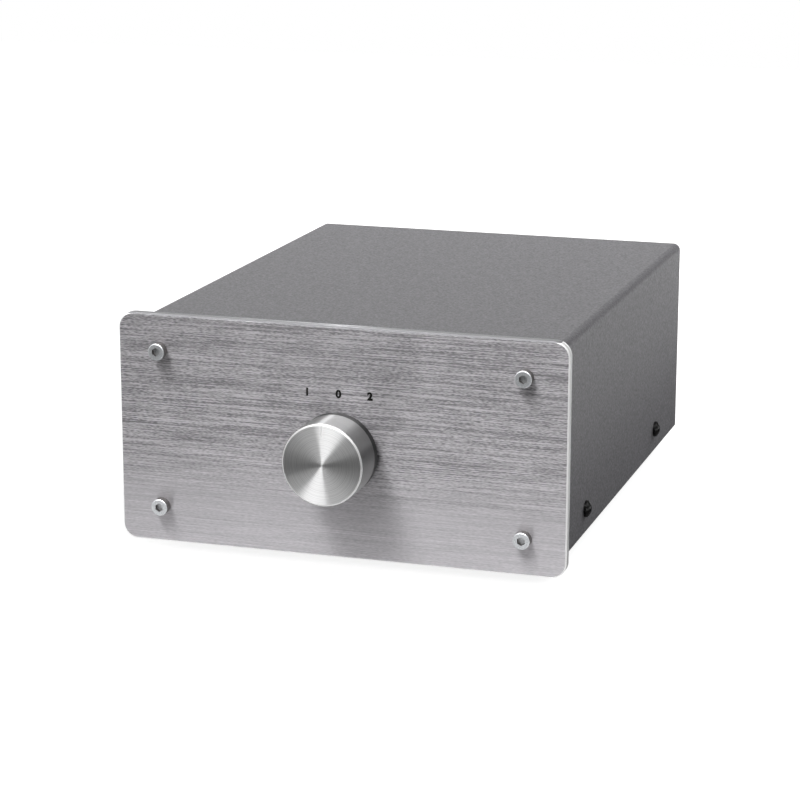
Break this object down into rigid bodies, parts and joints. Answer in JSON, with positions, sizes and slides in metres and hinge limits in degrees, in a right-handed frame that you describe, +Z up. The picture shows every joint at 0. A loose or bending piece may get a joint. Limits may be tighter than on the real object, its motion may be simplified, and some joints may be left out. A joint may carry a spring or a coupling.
{
  "type": "speaker selector switch",
  "caption": "Loudspeaker selector box: folded grey case, thick brushed front plate, a turned knob with three positions, and binding posts in three groups on the rear.",
  "frame": {"origin": "on the surface that the feet stand on, below the middle of the whole box from the knob's face to the ends of the binding posts", "axes": "+X to the right as seen from the front, the front faces -Y, +Z up"},
  "size_m": [0.15, 0.2256, 0.079],
  "materials": {
    "plate_aluminium": "brushed, clear anodised",
    "knob_aluminium": "spun face, turned side",
    "grey_paint": "satin grey",
    "black_screws": "black oxide",
    "zinc_steel": "zinc plated",
    "foot_rubber": "moulded, matt",
    "wafer_board": "phenolic board",
    "rotor_plastic": "moulded",
    "contact_brass": "silver plated",
    "gold_plate": "gold plated",
    "post_red": "moulded",
    "post_black": "moulded",
    "lead_red": "insulation",
    "lead_black": "insulation"
  },
  "bodies": {
    "case": {"base_chassis": "grey_paint", "bushing_nut": "zinc_steel", "bushing_washer": "zinc_steel", "contacts_front": "contact_brass", "contacts_rear": "contact_brass", "cover_screws": "black_screws", "detent_spring": "zinc_steel", "foot_front_left": "foot_rubber", "foot_front_right": "foot_rubber", "foot_nuts": "zinc_steel", "foot_rear_left": "foot_rubber", "foot_rear_right": "foot_rubber", "foot_screws": "zinc_steel", "front_plate": "plate_aluminium", "inner_insulators": "post_black", "leads_common_black": "lead_black", "leads_common_red": "lead_red", "leads_input_1_black": "lead_black", "leads_input_1_red": "lead_red", "leads_input_2_black": "lead_black", "leads_input_2_red": "lead_red", "lock_nuts": "gold_plate", "plate_nuts": "zinc_steel", "plate_screws": "zinc_steel", "post_collars_black": "post_black", "post_collars_red": "post_red", "post_nuts": "gold_plate", "post_studs": "gold_plate", "solder_lugs": "gold_plate", "switch_frame": "zinc_steel", "switch_spacers": "zinc_steel", "tie_screws": "zinc_steel", "top_cover": "grey_paint", "wafer_front": "wafer_board", "wafer_rear": "wafer_board"},
    "knob": {"knob": "knob_aluminium", "knob_set_screw": "zinc_steel", "switch_shaft": "zinc_steel", "shaft_clip": "zinc_steel", "detent_wheel": "zinc_steel", "rotor_front": "rotor_plastic", "rotor_rear": "rotor_plastic", "rotor_blades_front": "contact_brass", "rotor_blades_rear": "contact_brass"},
    "post_cap_common_left_black": {"post_cap_common_left_black": "post_black"},
    "post_cap_common_left_red": {"post_cap_common_left_red": "post_red"},
    "post_cap_common_right_black": {"post_cap_common_right_black": "post_black"},
    "post_cap_common_right_red": {"post_cap_common_right_red": "post_red"},
    "post_cap_input_1_left_black": {"post_cap_input_1_left_black": "post_black"},
    "post_cap_input_1_left_red": {"post_cap_input_1_left_red": "post_red"},
    "post_cap_input_1_right_black": {"post_cap_input_1_right_black": "post_black"},
    "post_cap_input_1_right_red": {"post_cap_input_1_right_red": "post_red"},
    "post_cap_input_2_left_black": {"post_cap_input_2_left_black": "post_black"},
    "post_cap_input_2_left_red": {"post_cap_input_2_left_red": "post_red"},
    "post_cap_input_2_right_black": {"post_cap_input_2_right_black": "post_black"},
    "post_cap_input_2_right_red": {"post_cap_input_2_right_red": "post_red"}
  },
  "joints": [
    {"name": "knob_turn", "type": "hinge", "parent": "case", "child": "knob", "pos_m": [0, -0.09625, 0.038], "axis": [0, 1, 0], "range_deg": [-30, 30], "deforming": ["detent_spring"]},
    {"name": "cap_travel_common_left_black", "type": "slide", "parent": "case", "child": "post_cap_common_left_black", "axis": [0, 1, 0], "range_m": [0, 0.0045]},
    {"name": "cap_travel_common_left_red", "type": "slide", "parent": "case", "child": "post_cap_common_left_red", "axis": [0, 1, 0], "range_m": [0, 0.0045]},
    {"name": "cap_travel_common_right_black", "type": "slide", "parent": "case", "child": "post_cap_common_right_black", "axis": [0, 1, 0], "range_m": [0, 0.0045]},
    {"name": "cap_travel_common_right_red", "type": "slide", "parent": "case", "child": "post_cap_common_right_red", "axis": [0, 1, 0], "range_m": [0, 0.0045]},
    {"name": "cap_travel_input_1_left_black", "type": "slide", "parent": "case", "child": "post_cap_input_1_left_black", "axis": [0, 1, 0], "range_m": [0, 0.0045]},
    {"name": "cap_travel_input_1_left_red", "type": "slide", "parent": "case", "child": "post_cap_input_1_left_red", "axis": [0, 1, 0], "range_m": [0, 0.0045]},
    {"name": "cap_travel_input_1_right_black", "type": "slide", "parent": "case", "child": "post_cap_input_1_right_black", "axis": [0, 1, 0], "range_m": [0, 0.0045]},
    {"name": "cap_travel_input_1_right_red", "type": "slide", "parent": "case", "child": "post_cap_input_1_right_red", "axis": [0, 1, 0], "range_m": [0, 0.0045]},
    {"name": "cap_travel_input_2_left_black", "type": "slide", "parent": "case", "child": "post_cap_input_2_left_black", "axis": [0, 1, 0], "range_m": [0, 0.0045]},
    {"name": "cap_travel_input_2_left_red", "type": "slide", "parent": "case", "child": "post_cap_input_2_left_red", "axis": [0, 1, 0], "range_m": [0, 0.0045]},
    {"name": "cap_travel_input_2_right_black", "type": "slide", "parent": "case", "child": "post_cap_input_2_right_black", "axis": [0, 1, 0], "range_m": [0, 0.0045]},
    {"name": "cap_travel_input_2_right_red", "type": "slide", "parent": "case", "child": "post_cap_input_2_right_red", "axis": [0, 1, 0], "range_m": [0, 0.0045]}
  ]
}
